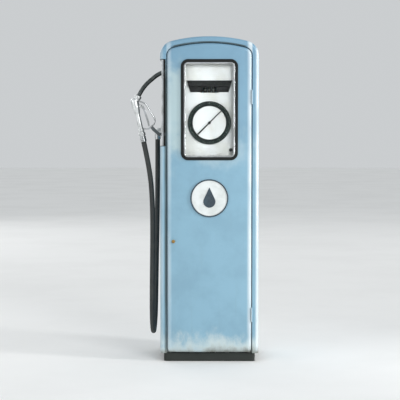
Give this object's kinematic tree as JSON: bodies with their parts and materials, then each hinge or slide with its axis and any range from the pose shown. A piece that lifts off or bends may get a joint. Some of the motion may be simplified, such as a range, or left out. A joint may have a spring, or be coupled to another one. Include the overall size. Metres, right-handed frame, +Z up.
{
  "type": "fuel pump",
  "caption": "Free-standing fuel pump: arched sheet casing, hinged front door with window and clock dial, inner pumping gear, and a hose with a hand nozzle hung at a side recess.",
  "frame": {"origin": "centre of the base's underside, which is the centre of the four anchor holes", "axes": "+Z up; the front with the door faces -Y; the nozzle and hose hang on the -X side"},
  "size_m": [0.6787, 0.4535, 1.7199],
  "materials": {
    "body_paint": "gloss",
    "window_rubber": "satin",
    "bright_metal": "polished",
    "window_glass": "clear",
    "dial_white": "satin",
    "dial_green": "satin",
    "black_paint": "satin",
    "enamel_white": "gloss",
    "enamel_dark": "gloss",
    "base_iron": "rough",
    "frame_steel": "satin",
    "cast_grey": "rough",
    "machine_green": "satin",
    "pipe_steel": "galvanised",
    "brass": "dull",
    "nozzle_metal": "worn",
    "hose_rubber": "matt",
    "belt_rubber": "matt"
  },
  "bodies": {
    "pump": {"base_casting": "base_iron", "hood": "body_paint", "left_side_casing": "body_paint", "right_side_casing": "body_paint", "front_opening_frame": "body_paint", "rear_opening_frame": "body_paint", "rear_panel": "body_paint", "rear_panel_screws": "pipe_steel", "hinge_frame_leaves": "body_paint", "dial_plate": "dial_white", "dial_ring": "dial_green", "dial_face": "dial_white", "counter_visor": "black_paint", "counter_frame": "pipe_steel", "register_gearbox": "machine_green", "inner_frame": "frame_steel", "pump_shelf": "frame_steel", "meter_shelf": "frame_steel", "motor": "machine_green", "pump_unit": "cast_grey", "v_belt": "belt_rubber", "air_separator": "machine_green", "meter": "brass", "suction_pipe": "pipe_steel", "separator_pipes": "pipe_steel", "delivery_pipe": "pipe_steel", "conduit": "pipe_steel", "junction_box": "machine_green", "nozzle_pocket": "black_paint", "pocket_strip": "bright_metal", "nozzle_holster": "frame_steel", "nozzle_rest": "frame_steel", "outlet_elbow": "bright_metal", "outlet_ferrule": "bright_metal", "hose": "hose_rubber"},
    "front_door": {"front_door": "body_paint", "door_stiffeners": "frame_steel", "window_gasket": "window_rubber", "window_bezel": "bright_metal", "window_glass": "window_glass", "badge_plate": "enamel_white", "badge_relief": "enamel_dark", "hinge_door_leaves": "body_paint"},
    "door_lock": {"door_lock": "brass"},
    "pointer": {"pointer": "black_paint"},
    "reset_knob": {"reset_knob": "black_paint"},
    "counter_wheel_1": {"counter_wheel_1": "black_paint"},
    "counter_wheel_2": {"counter_wheel_2": "black_paint"},
    "counter_wheel_3": {"counter_wheel_3": "black_paint"},
    "meter_shaft": {"meter_shaft": "pipe_steel"},
    "motor_pulley": {"motor_pulley": "cast_grey"},
    "pump_pulley": {"pump_pulley": "cast_grey"},
    "switch_lever": {"switch_lever": "bright_metal"},
    "nozzle": {"nozzle_body": "nozzle_metal", "nozzle_spout": "nozzle_metal", "nozzle_guard": "bright_metal", "trigger_pin": "pipe_steel"},
    "trigger": {"nozzle_trigger": "bright_metal"},
    "swivel": {"nozzle_swivel": "bright_metal", "nozzle_ferrule": "bright_metal"}
  },
  "joints": [
    {"name": "door_hinge", "type": "hinge", "parent": "pump", "child": "front_door", "pos_m": [0.225, -0.217, 0.8], "axis": [0, 0, 1], "range_deg": [0, 110]},
    {"name": "door_lock_turn", "type": "hinge", "parent": "front_door", "child": "door_lock", "pos_m": [-0.19, -0.2, 0.64], "axis": [0, -1, 0], "range_deg": [0, 90]},
    {"name": "meter_shaft_turn", "type": "hinge", "parent": "pump", "child": "meter_shaft", "pos_m": [0.04, 0, 0.9], "axis": [0, 0, 1], "continuous": true},
    {"name": "pointer_turn", "type": "hinge", "parent": "pump", "child": "pointer", "pos_m": [0, -0.185, 1.266], "axis": [0, 1, 0], "continuous": true},
    {"name": "counter_wheel_1_turn", "type": "hinge", "parent": "pump", "child": "counter_wheel_1", "pos_m": [-0.021, -0.1575, 1.438], "axis": [1, 0, 0], "continuous": true},
    {"name": "counter_wheel_2_turn", "type": "hinge", "parent": "pump", "child": "counter_wheel_2", "pos_m": [0, -0.1575, 1.438], "axis": [1, 0, 0], "continuous": true},
    {"name": "counter_wheel_3_turn", "type": "hinge", "parent": "pump", "child": "counter_wheel_3", "pos_m": [0.021, -0.1575, 1.438], "axis": [1, 0, 0], "continuous": true},
    {"name": "reset_knob_turn", "type": "hinge", "parent": "pump", "child": "reset_knob", "pos_m": [0.113, -0.185, 1.123], "axis": [0, 1, 0], "range_deg": [0, 90]},
    {"name": "pump_spin", "type": "hinge", "parent": "pump", "child": "pump_pulley", "pos_m": [-0.05, 0.04, 0.385], "axis": [1, 0, 0], "continuous": true},
    {"name": "motor_spin", "type": "hinge", "parent": "pump", "child": "motor_pulley", "pos_m": [-0.05, 0.04, 0.122], "axis": [1, 0, 0], "continuous": true},
    {"name": "switch_lever_swing", "type": "hinge", "parent": "pump", "child": "switch_lever", "pos_m": [-0.204, -0.048, 1.29], "axis": [1, 0, 0], "range_deg": [0, 45]},
    {"name": "nozzle_lift", "type": "slide", "parent": "pump", "child": "nozzle", "axis": [-0.8, 0, 0.6], "range_m": [0, 0.16]},
    {"name": "trigger_squeeze", "type": "hinge", "parent": "nozzle", "child": "trigger", "pos_m": [-0.359, -0.132, 1.356], "axis": [0, 1, 0], "range_deg": [0, 11], "stiffness_Nm_per_rad": 1.5, "springref_deg": -2.86},
    {"name": "swivel_turn", "type": "hinge", "parent": "nozzle", "child": "swivel", "pos_m": [-0.35, -0.132, 1.165], "axis": [-0.2169, 0, 0.9762], "continuous": true}
  ],
  "couplings": [
    {"joint": "pointer_turn", "follows": "meter_shaft_turn", "ratio": 0.25},
    {"joint": "counter_wheel_3_turn", "follows": "meter_shaft_turn", "ratio": -0.25},
    {"joint": "counter_wheel_2_turn", "follows": "meter_shaft_turn", "ratio": -0.025},
    {"joint": "counter_wheel_1_turn", "follows": "meter_shaft_turn", "ratio": -0.0025},
    {"joint": "motor_spin", "follows": "pump_spin", "ratio": 2}
  ]
}
